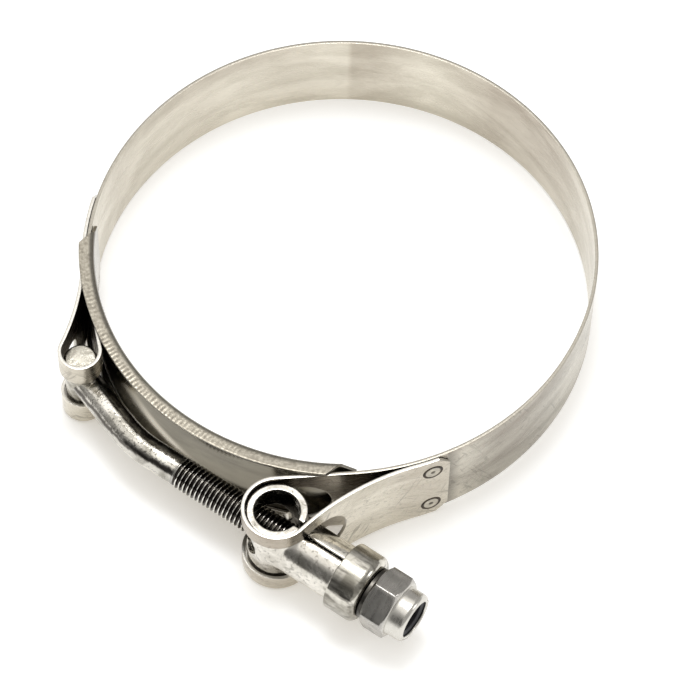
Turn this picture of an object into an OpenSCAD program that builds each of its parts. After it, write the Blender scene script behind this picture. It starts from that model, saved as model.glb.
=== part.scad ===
// T-bolt clamp. The bore's axis is Z and the origin lies at its centre, halfway up the band.
// The bolt's thread runs along X at the front (-Y): cross head at -X, trunnion and nut at +X.

/* [Band] */
// Bore that the clamp closes on
bore_d = 95; // [88:1:110]
// Width of the strip
band_w = 19; // [18:0.5:24]
// Thickness of the strip
band_t = 0.65; // [0.5:0.05:0.8]
// Extra radius of the flatter stretch at each end of the ring
shoulder_flat = 2.6; // [2.2:0.1:3.4]
// Angle above the X axis at which each end leaves the round
leave_angle = 15; // [10:1:20]
// Radius of the outer leg's sweep from an eye to its welded tab
leg_r = 50; // [40:1:70]
// Gap between a tab and the band that it is welded to
weld_gap = 0.12; // [0.1:0.01:0.2]
// Diameter of the spot welds
weld_d = 3.8; // [2.5:0.1:4.5]
// Height to which a spot weld stands proud of its tab
weld_proud = 0.07; // [0.05:0.01:0.12]
// Distance of the spot welds from the end of their tab
weld_back = 3.4; // [2.5:0.1:4]
// Distance of the spot welds from the middle of the strip
weld_out = 5.8; // [4:0.1:7]
// Length of the welded tab beside the trunnion
trunnion_tab = 6.5; // [5:0.5:12]
// Length of the welded tab beside the cross head
head_tab = 16; // [8:0.5:18]
// Chamfer on the corners of the tabs
tab_chamfer = 2.2; // [1:0.1:3]
// Play between an eye and the pin in it
eye_play = 0.3; // [0.2:0.05:0.5]
// Play between the trunnion eye's slot and the neck
neck_slot_play = 0.35; // [0.3:0.05:0.6]
// Play between the cross head eye's slot and the shank
shank_slot_play = 1.25; // [0.5:0.05:1.5]
// Length of the trunnion eye's slot along each leg, from the eye's round
neck_slot_reach = 10.6; // [7:0.2:11]
// Length of the cross head eye's slot along each leg, from the eye's round
shank_slot_reach = 6.5; // [6:0.1:11]

/* [Bridge] */
// Angle at which the bridge begins, on the cross head's side
bridge_from = 208.5; // [205:0.5:216]
// Angle at which the bridge ends, on the trunnion's side
bridge_to = 308; // [300:0.5:310]
// Thickness of the bridge
bridge_t = 0.6; // [0.5:0.05:0.65]
// Play between the lips and the band's edges
lip_play = 0.2; // [0.1:0.05:0.5]
// How far the lips stand out from the bore
lip_reach = 2.9; // [2.4:0.1:3.2]
// Inside radius of the bend into the lips
lip_bend = 0.5; // [0.3:0.1:0.8]
// How far the lips stop short of the bridge's ends
lip_setback = 1.8; // [1:0.1:4]
// Length of the slanting cut at the ends of the lips
lip_slant = 3.2; // [1:0.1:4]
// Radius of the bridge's corners
bridge_corner = 2.5; // [1:0.1:4]

/* [T-bolt] */
// Diameter over the thread
bolt_d = 6.35; // [5.8:0.05:7]
// Diameter of the plain shank
shank_d = 5.8; // [5:0.1:6.4]
// Diameter of the cross head
head_d = 6.35; // [5.5:0.05:7]
// How far the cross head stops short of the band's edges
head_inset = 2.8; // [2:0.1:4]
// Distance of the cross head from the clamp's centre line
head_x = 26.7; // [24:0.1:30]
// Height of the cross head's axis over the band
head_rise = 6.6; // [6:0.1:8]
// Height of the thread's axis over the band
bolt_rise = 5.35; // [4.8:0.05:7]
// Radius of the bend in the shank, on its centre line
bend_r = 25; // [20:1:30]
// Where the bend ends, left of the clamp's centre line
bend_end = 5.6; // [3:0.1:8]
// Where the thread starts, right of the clamp's centre line
thread_start = 0.5; // [0:0.1:6]
// Chamfer on the ends of the cross head and the thread
bolt_chamfer = 0.5; // [0.2:0.05:0.8]
// Gap between the bolt's end and the locking insert
bolt_gap = 0.3; // [0.2:0.1:1]

/* [Trunnion] */
// Distance of the barrel from the clamp's centre line
trunnion_x = 22.7; // [20:0.1:26]
// Thickness of the trunnion's sheet
sheet_t = 1.4; // [1:0.1:1.8]
// Play round the bolt inside the neck
bolt_slack = 0.95; // [0.8:0.05:1.1]
// How much larger the barrel's radius is than the neck's
barrel_step = 0.1; // [0.05:0.05:0.3]
// How far the barrel stops short of the band's edges
barrel_inset = 1; // [0.5:0.1:1.5]
// Length from the barrel's axis to the end of the neck
neck_len = 19.5; // [17:0.1:24]
// Radius of the round ends of the bolt's entry into the barrel
entry_r = 3.4; // [3:0.1:3.8]
// Angle round the barrel from the bolt's axis to each end of its entry
entry_turn = 42; // [30:1:44]
// Width of the open seam in the barrel
seam_w = 1.3; // [0.8:0.1:2]
// Width to which the seam closes along the neck
neck_seam = 0.4; // [0.3:0.05:0.8]
// Length of the taper from the barrel into the neck
taper_len = 2.8; // [1:0.1:4]
// Height of the taper on the barrel, above the neck
taper_rise = 1.2; // [0.5:0.1:2.2]
// Depth of the taper under the surfaces that it joins
taper_under = 0.15; // [0.1:0.05:0.3]

/* [Thrust cup] */
// Length of the cup
cup_len = 6.2; // [5:0.1:8]
// Thickness of the cup's wall
cup_wall = 0.7; // [0.6:0.05:1.2]
// Thickness of the cup's floor
cup_floor = 1.2; // [0.8:0.1:2]
// Play between the cup and the neck
cup_play = 0.5; // [0.4:0.05:0.6]
// Gap between the neck's end and the cup's floor
seat_gap = 0.5; // [0.4:0.05:0.7]
// Radius of the cup's shoulder on the nut's side
cup_round = 1.6; // [0.8:0.1:1.8]
// Play between the cup's hole and the bolt
cup_hole_play = 0.35; // [0.3:0.05:0.8]

/* [Lock nut] */
// Width of the nut across its flats
nut_af = 11.1; // [10:0.1:12]
// Length of the hexagon
hex_len = 5.4; // [4.5:0.1:7]
// Turn of the hexagon about the bolt
nut_turn = 9; // [0:1:60]
// Length of the nut's washer face
washer_len = 0.8; // [0.4:0.1:1.2]
// Gap between the washer face and the cup
nut_gap = 0.1; // [0.05:0.05:0.2]
// How far the hexagon's end faces stop short of its flats
hex_inset = 0.17; // [0.1:0.01:0.3]
// How far the washer face stops short of the flats
washer_inset = 0.4; // [0.3:0.05:0.6]
// Chamfer of the hexagon's corners, along the bolt
hex_chamfer = 0.7; // [0.3:0.1:1]
// Diameter of the collar
collar_d = 9.8; // [9:0.1:10.4]
// Length of the collar
collar_len = 3.4; // [3:0.1:4.5]
// Thickness of the collar's wall
collar_wall = 0.7; // [0.5:0.05:0.9]
// How far the collar's edge is rolled in over the insert
collar_roll = 0.5; // [0.2:0.1:0.8]
// Play between the nut's thread and the bolt's
thread_play = 0.05; // [0.03:0.01:0.1]
// Length of the locking insert
insert_len = 2.2; // [1.6:0.1:2.3]
// Wall of the locking insert
insert_wall = 1.2; // [0.8:0.05:1.3]
// Play between the insert and the collar
insert_play = 0.03; // [0.02:0.01:0.05]

/* [Hidden] */
$fn = 180;
bore_r = bore_d / 2;
band_mid = band_t / 2;
bolt_r = bolt_d / 2;
shoulder_r = bore_r + shoulder_flat + band_mid;
tab_r = shoulder_r + band_t + weld_gap;
bolt_y = -(bore_r + band_t + bolt_rise);
head_out = bore_r + band_t + head_rise;
head_at = [-head_x, -sqrt(head_out * head_out - head_x * head_x)];
barrel_at = [trunnion_x, bolt_y];
neck_r = bolt_r + bolt_slack + sheet_t;
barrel_r = neck_r + barrel_step;
barrel_h = band_w - 2 * barrel_inset;
lip_root = band_w / 2 + lip_play - lip_bend;
plate_half = lip_root - bridge_t / 4;
cup_in_r = neck_r + cup_play;
cup_out_r = cup_in_r + cup_wall;
cup_x = trunnion_x + neck_len + seat_gap + cup_floor - cup_len;
nut_x = cup_x + cup_len + nut_gap;
hex_x = nut_x + washer_len;
collar_x = hex_x + hex_len;
nut_end = collar_x + collar_len;
insert_out_r = collar_d / 2 - collar_wall - insert_play;
insert_x = nut_end - collar_roll - insert_len;
bolt_end = insert_x - bolt_gap;
// A lapped length of strip or rod runs this far into its neighbour, just under the surface
lap = 0.15;
skin = 0.01;
// Spare length of a cut beyond the surface it opens
over = 1;
// Steps round a bend in the sheet and round a turned shoulder
bend_steps = 4;
round_steps = 6;

// Unit vector at an angle in plan, and the angle of a vector
function unit(a) = [cos(a), sin(a)];
function heading(v) = atan2(v[1], v[0]);

// Points along an arc, for profiles
function arc(centre, r, from, to, steps) =
    [for (i = [0:steps]) centre + r * unit(from + (to - from) * i / steps)];

// A curved length of the strip, standing on edge; a lapped one runs on into its neighbours
module strip_arc(centre, r, from, to, lapped = false) {
    run_on = lapped ? lap / r * 180 / PI : 0;
    inset = lapped ? skin : 0;
    translate(centre)
        rotate(from - run_on)
            rotate_extrude(angle = to - from + 2 * run_on)
                translate([r, 0])
                    square([band_t - 2 * inset, band_w - 2 * inset], center = true);
}

// A straight length of the strip
module strip_run(from, to) {
    translate(from)
        rotate(heading(to - from))
            translate([0, -band_mid, -band_w / 2])
                cube([norm(to - from), band_t, band_w]);
}

// Round end of a slot, drilled across a leg
module slot_end(at, across, half) {
    translate(at)
        rotate(across)
            rotate([0, 90, 0])
                cylinder(r = half, h = 4 * over, center = true);
}

// One end of the band, at the right-hand side: shoulder, inner leg, eye, outer leg and welded tab
module band_end(eye, pin_r, slot_half, slot_reach, tab_len) {
    centre = -shoulder_flat * unit(leave_angle);
    eye_r = pin_r + eye_play + band_mid;
    span = norm(eye - centre);
    bearing = heading(eye - centre);
    // The inner leg is the crossed tangent from the shoulder to the eye
    off = bearing + acos((shoulder_r + eye_r) / span);
    leg_from = centre + shoulder_r * unit(off);
    leg_to = eye - eye_r * unit(off);
    // The outer leg is an arc that touches the eye and the tab from outside
    far = leg_r + tab_r;
    near = leg_r + eye_r;
    on = bearing + acos((far * far + span * span - near * near) / (2 * far * span));
    sweep_centre = centre + far * unit(on);
    eye_end = heading(sweep_centre - eye);
    tab_end = on + tab_len / tab_r * 180 / PI;
    // The slot leaves two ribbons round the eye
    slot_run = slot_reach - slot_half;
    in_at = leg_to + slot_run * unit(off + 90);
    out_turn = eye_end + 180 - slot_run / leg_r * 180 / PI;
    out_at = sweep_centre + leg_r * unit(out_turn);
    past = 4 * eye_r;
    clear = 2 * over;
    corner = sqrt(2) * tab_chamfer;
    difference() {
        union() {
            strip_arc(centre, shoulder_r, off, leave_angle, lapped = true);
            strip_run(leg_from, leg_to);
            strip_arc(eye, eye_r, off + 180, eye_end + 360, lapped = true);
            strip_arc(sweep_centre, leg_r, on + 180, eye_end + 180);
            difference() {
                strip_arc(centre, tab_r, on, tab_end, lapped = true);
                for (edge = [-1, 1])
                    translate(centre)
                        rotate(tab_end)
                            translate([tab_r, 0, edge * band_w / 2])
                                rotate([45, 0, 0])
                                    cube([2 * band_t, corner, corner], center = true);
            }
            for (edge = [-1, 1])
                translate(centre)
                    rotate(tab_end - weld_back / tab_r * 180 / PI)
                        translate([shoulder_r, 0, edge * weld_out])
                            rotate([0, 90, 0])
                                cylinder(d = weld_d, h = tab_r + band_mid + weld_proud - shoulder_r);
        }
        slot_end(in_at, off, slot_half);
        slot_end(out_at, out_turn, slot_half);
        linear_extrude(2 * slot_half - 10 * skin, center = true)
            polygon([
                in_at - clear * unit(off),
                in_at + clear * unit(off),
                out_at + clear * unit(out_turn),
                out_at - clear * unit(out_turn),
                out_at - clear * unit(out_turn) + past * unit(bearing),
                in_at - clear * unit(off) + past * unit(off - 90)
            ]);
    }
}

module band() {
    head_eye = [-head_at[0], head_at[1]];
    color("silver") {
        strip_arc([0, 0], bore_r + band_mid, leave_angle, 180 - leave_angle);
        band_end(barrel_at, barrel_r, neck_r + neck_slot_play, neck_slot_reach, trunnion_tab);
        mirror([1, 0, 0])
            band_end(head_eye, head_d / 2, shank_d / 2 + shank_slot_play, shank_slot_reach, head_tab);
    }
}

// The bridge's section: a plate with both edges turned outwards into lips
function flip(points) = [for (i = [len(points) - 1:-1:0]) [points[i][0], -points[i][1]]];
function bridge_section() =
    let (
        outer = lip_bend + bridge_t,
        pivot = [bore_r + outer, lip_root],
        tip = bore_r + lip_reach,
        bore_side = concat(arc(pivot, outer, 180, 90, bend_steps), [[tip, lip_root + outer]]),
        band_side = concat([[tip, lip_root + lip_bend]], arc(pivot, lip_bend, 90, 180, bend_steps))
    )
    concat(flip(bore_side), bore_side, band_side, flip(band_side));

// Cuts a lip back from one end of the bridge, and slants its corner
module lip_cut(end, side, edge) {
    plate_r = bore_r + bridge_t;
    far = plate_r + 2 * lip_reach;
    back = 2 * side * lip_setback;
    deep = lip_bend + bridge_t + over;
    rotate(end - side * lip_setback / bore_r * 180 / PI)
        translate([0, 0, edge > 0 ? plate_half : -plate_half - deep])
            linear_extrude(deep)
                polygon([
                    [bore_r - over, 0],
                    [bore_r - over, back],
                    [far, back],
                    [far, -2 * side * lip_slant],
                    [plate_r, 0]
                ]);
}

// Rounds a corner at one end of the plate
module corner_cut(end, side, edge) {
    r = bridge_corner;
    at = [-side * r, edge * (plate_half - r)];
    reach = r / cos(45 / bend_steps);
    high = plate_half + over;
    rotate(end)
        translate([bore_r - over, 0])
            rotate([90, 0, 90])
                linear_extrude(2 * over + bridge_t)
                    polygon(concat(
                        arc(at, reach, 90 - side * 90, edge * 90, bend_steps),
                        [[-side * r, edge * high], [side * over, edge * high]],
                        [[side * over, edge * (plate_half - r)]]
                    ));
}

module bridge() {
    color("gainsboro")
        difference() {
            rotate(bridge_from)
                rotate_extrude(angle = bridge_to - bridge_from)
                    polygon(bridge_section());
            for (edge = [-1, 1]) {
                lip_cut(bridge_from, -1, edge);
                lip_cut(bridge_to, 1, edge);
                corner_cut(bridge_from, -1, edge);
                corner_cut(bridge_to, 1, edge);
            }
        }
}

module t_bolt() {
    head_len = band_w - 2 * head_inset;
    half = head_len / 2;
    bend_at = [-bend_end, bolt_y + bend_r];
    reach = head_at - bend_at;
    touch = heading(reach) + 360 + acos(bend_r / norm(reach));
    plain_d = shank_d - 4 * skin;
    straight = norm(bend_at + bend_r * unit(touch) - head_at);
    color("lightgray") {
        // Cross head
        translate(head_at)
            rotate_extrude()
                polygon([
                    [0, -half],
                    [head_d / 2 - bolt_chamfer, -half],
                    [head_d / 2, bolt_chamfer - half],
                    [head_d / 2, half - bolt_chamfer],
                    [head_d / 2 - bolt_chamfer, half],
                    [0, half]
                ]);
        // Shank, bend and plain length
        translate(head_at)
            rotate(touch + 90)
                rotate([0, 90, 0])
                    cylinder(d = plain_d, h = straight + lap);
        translate(bend_at)
            rotate(touch)
                rotate_extrude(angle = 270 - touch)
                    translate([bend_r, 0])
                        circle(d = shank_d);
        translate([-bend_end - lap, bolt_y])
            rotate([0, 90, 0])
                cylinder(d = plain_d, h = bend_end + lap + thread_start + over);
        // Threaded length, at its outside diameter
        translate([thread_start, bolt_y])
            rotate([0, 90, 0])
                rotate_extrude()
                    polygon([
                        [0, 0],
                        [bolt_r - bolt_chamfer, 0],
                        [bolt_r, bolt_chamfer],
                        [bolt_r, bolt_end - thread_start - bolt_chamfer],
                        [bolt_r - bolt_chamfer, bolt_end - thread_start],
                        [0, bolt_end - thread_start]
                    ]);
    }
}

module trunnion() {
    taper_half = neck_r - taper_under;
    taper_h = 2 * (neck_r + taper_rise);
    taper_end = barrel_r + taper_len;
    seam_end = neck_len + over;
    color("gainsboro")
        translate(barrel_at)
            difference() {
                union() {
                    cylinder(r = barrel_r, h = barrel_h, center = true);
                    rotate([0, 90, 0])
                        cylinder(r = neck_r, h = neck_len);
                    // Taper from the barrel into the neck, between the ribbons of the eye
                    intersection() {
                        hull($fn = 48) {
                            cylinder(r = barrel_r - taper_under, h = taper_h, center = true);
                            rotate([0, 90, 0])
                                cylinder(r = taper_half, h = taper_end);
                        }
                        translate([-barrel_r, -barrel_r, -taper_half])
                            cube([barrel_r + taper_end, 2 * barrel_r, 2 * taper_half]);
                    }
                }
                // Hollow of the barrel and of the neck, with the bolt's entry through the far wall
                cylinder(r = barrel_r - sheet_t, h = barrel_h + 2 * over, center = true);
                rotate([0, 90, 0])
                    translate([0, 0, -barrel_r - over])
                        cylinder(r = neck_r - sheet_t, h = barrel_r + neck_len + 2 * over);
                // The entry spreads to both sides, which leaves the bolt room to swing
                for (turn = [180 - entry_turn, 180 + entry_turn])
                    rotate(turn)
                        rotate([0, 90, 0])
                            cylinder(r = entry_r, h = barrel_r + over);
                // Open seams where the two tails meet, closing along the neck
                linear_extrude(barrel_h + 2 * over, center = true)
                    polygon([
                        [0, -seam_w / 2],
                        [barrel_r, -seam_w / 2],
                        [taper_end, -neck_seam / 2],
                        [seam_end, -neck_seam / 2],
                        [seam_end, neck_seam / 2],
                        [taper_end, neck_seam / 2],
                        [barrel_r, seam_w / 2],
                        [0, seam_w / 2]
                    ]);
            }
}

module thrust_cup() {
    hole_r = bolt_r + cup_hole_play;
    floor_at = cup_len - cup_floor;
    shoulder = [cup_out_r - cup_round, cup_len - cup_round];
    color("silver")
        translate([cup_x, bolt_y])
            rotate([0, 90, 0])
                rotate_extrude()
                    polygon(concat(
                        [[hole_r, floor_at], [cup_in_r, floor_at], [cup_in_r, 0], [cup_out_r, 0]],
                        arc(shoulder, cup_round, 0, 90, round_steps),
                        [[hole_r, cup_len]]
                    ));
}

// The nut's hexagon with both ends chamfered
module hexagon() {
    corner_r = nut_af / sqrt(3);
    face_r = nut_af / 2 - hex_inset;
    intersection() {
        cylinder(r = corner_r, h = hex_len, $fn = 6);
        rotate_extrude()
            polygon([
                [0, 0],
                [face_r, 0],
                [corner_r + skin, hex_chamfer],
                [corner_r + skin, hex_len - hex_chamfer],
                [face_r, hex_len],
                [0, hex_len]
            ]);
    }
}

module lock_nut() {
    bore = bolt_r + thread_play;
    collar_r = collar_d / 2;
    edge_r = collar_wall + collar_roll / 2;
    edge_at = [collar_r - edge_r, collar_len + over - edge_r];
    pocket_r = collar_r - collar_wall;
    color("darkgray")
        translate([nut_x, bolt_y])
            rotate([0, 90, 0])
                difference() {
                    union() {
                        cylinder(r = nut_af / 2 - washer_inset, h = washer_len + over);
                        translate([0, 0, washer_len])
                            rotate(nut_turn)
                                hexagon();
                        translate([0, 0, washer_len + hex_len - over])
                            rotate_extrude()
                                polygon(concat(
                                    [[0, 0], [collar_r, 0]],
                                    arc(edge_at, edge_r, 0, 90, round_steps),
                                    [[0, collar_len + over]]
                                ));
                    }
                    // Thread, insert pocket and mouth
                    translate([0, 0, -over])
                        cylinder(r = bore, h = nut_end - nut_x + over - collar_roll);
                    translate([0, 0, insert_x - nut_x])
                        cylinder(r = pocket_r, h = insert_len);
                    translate([0, 0, insert_x - nut_x])
                        cylinder(r = pocket_r - collar_roll, h = insert_len + collar_roll + over);
                }
}

module nut_insert() {
    inner_r = insert_out_r - insert_wall;
    color("dimgray")
        translate([insert_x, bolt_y])
            rotate([0, 90, 0])
                difference() {
                    cylinder(r = insert_out_r, h = insert_len - insert_play);
                    translate([0, 0, -over])
                        cylinder(r = inner_r, h = insert_len + 2 * over);
                }
}

band();
bridge();
t_bolt();
trunnion();
thrust_cup();
lock_nut();
nut_insert();
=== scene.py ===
"""Dresses the T-bolt clamp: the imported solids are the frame, and every piece here is made to their sizes."""
from math import acos, atan2, ceil, cos, degrees, exp, pi, radians, sin, sqrt

import bmesh
import bpy
from mathutils import Matrix, Vector


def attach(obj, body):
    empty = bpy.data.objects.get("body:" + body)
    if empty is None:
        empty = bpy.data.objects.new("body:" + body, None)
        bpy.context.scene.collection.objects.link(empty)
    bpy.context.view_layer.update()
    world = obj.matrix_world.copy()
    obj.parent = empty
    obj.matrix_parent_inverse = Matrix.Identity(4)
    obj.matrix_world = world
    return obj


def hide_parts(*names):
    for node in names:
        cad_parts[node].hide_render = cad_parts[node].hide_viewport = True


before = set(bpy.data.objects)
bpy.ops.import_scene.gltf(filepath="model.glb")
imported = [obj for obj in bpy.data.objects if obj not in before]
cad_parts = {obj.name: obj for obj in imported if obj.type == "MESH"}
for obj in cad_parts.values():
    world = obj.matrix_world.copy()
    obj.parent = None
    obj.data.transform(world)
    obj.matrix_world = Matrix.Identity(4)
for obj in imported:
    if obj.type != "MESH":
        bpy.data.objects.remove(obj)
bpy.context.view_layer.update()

# Sizes, in millimetres and degrees, as the part's source names them
MM = 0.001
DEGREE = radians(1)
BORE_R = 47.5
BAND_W = 19.0
BAND_T = 0.65
SHOULDER_FLAT = 2.6
LEAVE = 15.0
LEG_R = 50.0
WELD_GAP = 0.12
WELD_BACK = 3.4
WELD_OUT = 5.8
TRUNNION_TAB = 6.5
HEAD_TAB = 16.0
TAB_CHAMFER = 2.2
EYE_PLAY = 0.3
NECK_SLOT_REACH = 10.6
SHANK_SLOT_REACH = 6.5
NECK_SLOT_PLAY = 0.35
SHANK_SLOT_PLAY = 1.25
BRIDGE_FROM = 208.5
BRIDGE_TO = 308.0
BRIDGE_T = 0.6
LIP_ROOT = 9.2
LIP_BEND = 0.5
LIP_REACH = 2.9
LIP_SETBACK = 1.8
LIP_SLANT = 3.2
BRIDGE_CORNER = 2.5
BOLT_D = 6.35
SHANK_D = 5.8
HEAD_D = 6.35
HEAD_HALF = 6.7
PITCH = 25.4 / 28
THREAD_START = 0.5
BEND_R = 25.0
BEND_END = 5.6
BOLT_END = 50.6
BOLT_Y = -53.5
HEAD_AT = Vector((-26.7, -47.79825))
BARREL_AT = Vector((22.7, BOLT_Y))
BARREL_R = 5.625
BARREL_HALF = 8.5
NECK_R = 5.525
NECK_LEN = 19.5
SHEET_T = 1.4
SEAM_W = 1.3
NECK_SEAM = 0.4
ENTRY_R = 3.4
ENTRY_TURN = 42.0
TAPER_LEN = 2.8
CUP_X = 37.7
CUP_LEN = 6.2
CUP_IN_R = 6.025
CUP_OUT_R = 6.725
CUP_FLOOR = 1.2
CUP_ROUND = 1.6
CUP_HOLE_R = 3.525
CUP_DENT_X = 4.7
CUP_DENT_TURN = 134.6
NUT_X = 44.0
WASHER_LEN = 0.8
NUT_AF = 11.1
HEX_LEN = 5.4
HEX_CHAMFER = 0.7
HEX_INSET = 0.17
WASHER_INSET = 0.4
NUT_TURN = 9.0
COLLAR_R = 4.9
COLLAR_LEN = 3.4
COLLAR_WALL = 0.7
COLLAR_ROLL = 0.5
INSERT_LEN = 2.2
INSERT_IN_R = 2.97
FLOOR_Z = -10.3

# Sizes of detail that only shows here, in millimetres
SAME_POINT = 0.0005
BAND_EASE = 0.09
BRIDGE_EASE = 0.08
FOLD_FADE = 9.0
RIB_PITCH = 0.86
RIB_HEIGHT = 0.025
RIB_START = LIP_ROOT + 1.3
RIB_FULL = LIP_ROOT + 2.0
THREAD_DEPTH = 0.6134 * PITCH
BOLT_CHAMFER = 0.5
HEAD_ROUND = 0.55
TRUNNION_FLOW = 2.0
TRUNNION_VOXEL = 0.17
TRUNNION_ROOM = 0.8
CUP_LIP = 0.22
CUP_DENT_DEPTH = 0.16
CUP_DENT_R = 0.32
HEX_ROUND = 0.3
COLLAR_ROUND = 0.95
COLLAR_LIP = 0.32


# Plain helpers for meshes

def unit(angle):
    a = radians(angle)
    return Vector((cos(a), sin(a)))


def heading(v):
    return degrees(atan2(v.y, v.x))


def add_object(name, data):
    made = bpy.data.objects.new(name, data)
    bpy.context.scene.collection.objects.link(made)
    return made


def mesh_piece(name, verts, faces, **marks):
    """A mesh object from points in millimetres, equal ones merged; marks are values by point."""
    mesh = bpy.data.meshes.new(name)
    mesh.from_pydata([tuple(MM * c for c in v) for v in verts], [], faces)
    for label, values in marks.items():
        mesh.attributes.new(label, "FLOAT", "POINT").data.foreach_set("value", values)
    bm = bmesh.new()
    bm.from_mesh(mesh)
    bmesh.ops.remove_doubles(bm, verts=bm.verts, dist=SAME_POINT * MM)
    bmesh.ops.dissolve_degenerate(bm, edges=bm.edges, dist=0.1 * SAME_POINT * MM)
    bm.to_mesh(mesh)
    bm.free()
    return add_object(name, mesh)


def grid_faces(rows, columns, base=0, loop=None, flip=False):
    """Quads over points that run row after row; loop joins the last row or column to the first."""
    faces = []
    for i in range(rows if loop == "rows" else rows - 1):
        here, there = base + i * columns, base + (i + 1) % rows * columns
        for k in range(columns if loop == "columns" else columns - 1):
            m = (k + 1) % columns
            a, b, c, d = here + k, there + k, there + m, here + m
            faces.append((a, d, c, b) if flip else (a, b, c, d))
    return faces


def smooth(piece, angle, *finishes):
    """Smooth shading with edges crisp past an angle, and a finish for a piece without one."""
    for finish in finishes:
        piece.data.materials.append(finish)
    piece.data.shade_smooth()
    piece.data.set_sharp_from_angle(angle=radians(angle))


def path_curve(name, points):
    """A plain curve through points, for a tree to follow."""
    data = bpy.data.curves.new(name, "CURVE")
    data.dimensions = "3D"
    spline = data.splines.new("POLY")
    spline.points.add(len(points) - 1)
    for place, p in zip(spline.points, points):
        place.co = (p[0] * MM, p[1] * MM, (p[2] if len(p) > 2 else 0) * MM, 1)
    return add_object(name, data)


def turned(name, profile, axis, segments):
    """A body of revolution: profile points are (along, radius), axis is (origin, direction, side)."""
    origin, along, side = axis
    across = along.cross(side)
    verts = []
    for i in range(segments):
        a = 2 * pi * i / segments
        spoke = cos(a) * side + sin(a) * across
        verts += [origin + x * along + r * spoke for x, r in profile]
    return mesh_piece(name, verts, grid_faces(segments, len(profile), loop="rows"))


def rounded(centre, r, start, end, steps):
    """Profile points round a corner; angles are from the along direction towards the radius."""
    return [tuple(Vector(centre) + r * unit(start + (end - start) * i / steps)) for i in range(steps + 1)]


def give_gauge(sheet, thickness, ease, finish):
    """Thickens a flat blank to both sides, with its rim in the edge finish and its edges eased."""
    sheet.data.materials.append(finish)
    sheet.data.materials.append(EDGE_FINISH)
    wall = sheet.modifiers.new("gauge", "SOLIDIFY")
    wall.thickness = thickness * MM
    wall.offset = 0
    wall.material_offset_rim = 1
    eased = sheet.modifiers.new("eased_edges", "BEVEL")
    eased.width = ease * MM
    eased.segments = 2
    eased.limit_method = "ANGLE"
    eased.angle_limit = radians(50)


# Node tree builders

class Nodes:
    """A node tree that is built line by line: values, colours and sockets all go in as inputs."""

    def __init__(self, tree):
        self.tree = tree

    def fill(self, socket, value):
        if isinstance(value, bpy.types.NodeSocket):
            self.tree.links.new(value, socket)
        else:
            socket.default_value = value

    def put(self, kind, *values, out=0, named=None, **settings):
        """Adds a node with its settings and inputs, and hands back one of its outputs."""
        node = self.tree.nodes.new(kind)
        for key, value in settings.items():
            setattr(node, key, value)
        for socket, value in zip([s for s in node.inputs if s.enabled], values):
            self.fill(socket, value)
        for key, value in (named or {}).items():
            self.fill(node.inputs[key], value)
        return node.outputs[out]

    def calc(self, operation, *values, **settings):
        return self.put("ShaderNodeMath", *values, operation=operation, **settings)

    def plus(self, a, b):
        return self.calc("ADD", a, b)

    def times(self, a, b):
        return self.calc("MULTIPLY", a, b)

    def most(self, a, b):
        return self.calc("MAXIMUM", a, b)

    def vector(self, operation, *values, **settings):
        return self.put("ShaderNodeVectorMath", *values, operation=operation, **settings)

    def ramp(self, value, start, end, low=0.0, high=1.0, **settings):
        return self.put("ShaderNodeMapRange", value, start, end, low, high, **settings)

    def soft_ramp(self, value, start, end):
        return self.ramp(value, start, end, interpolation_type="SMOOTHSTEP")

    def scaled(self, vector, factor):
        return self.vector("SCALE", named={0: vector, "Scale": factor})

    def mix(self, factor, low, high):
        return self.put("ShaderNodeMix", data_type="FLOAT", named={"Factor": factor, 2: low, 3: high})

    def axes(self, where):
        return self.put("ShaderNodeSeparateXYZ", where).node.outputs

    def xyz(self, x, y, z):
        return self.put("ShaderNodeCombineXYZ", x, y, z)

    def noise(self, where, scale, detail=2.0, **named):
        named.update(Vector=where, Scale=scale, Detail=detail)
        return self.put("ShaderNodeTexNoise", named=named)


class Tree(Nodes):
    """A node group with one output; its inputs are labels and kinds of socket."""

    def __init__(self, name, kind, inputs, output):
        super().__init__(bpy.data.node_groups.new(name, kind))
        for way, sockets in (("INPUT", inputs), ("OUTPUT", {output: output})):
            for label, socket in sockets.items():
                self.tree.interface.new_socket(label, in_out=way, socket_type="NodeSocket" + socket)
        self.inside = self.tree.nodes.new("NodeGroupInput").outputs
        self.result = self.tree.nodes.new("NodeGroupOutput").inputs[0]

    def give(self, socket):
        self.tree.links.new(socket, self.result)


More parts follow.
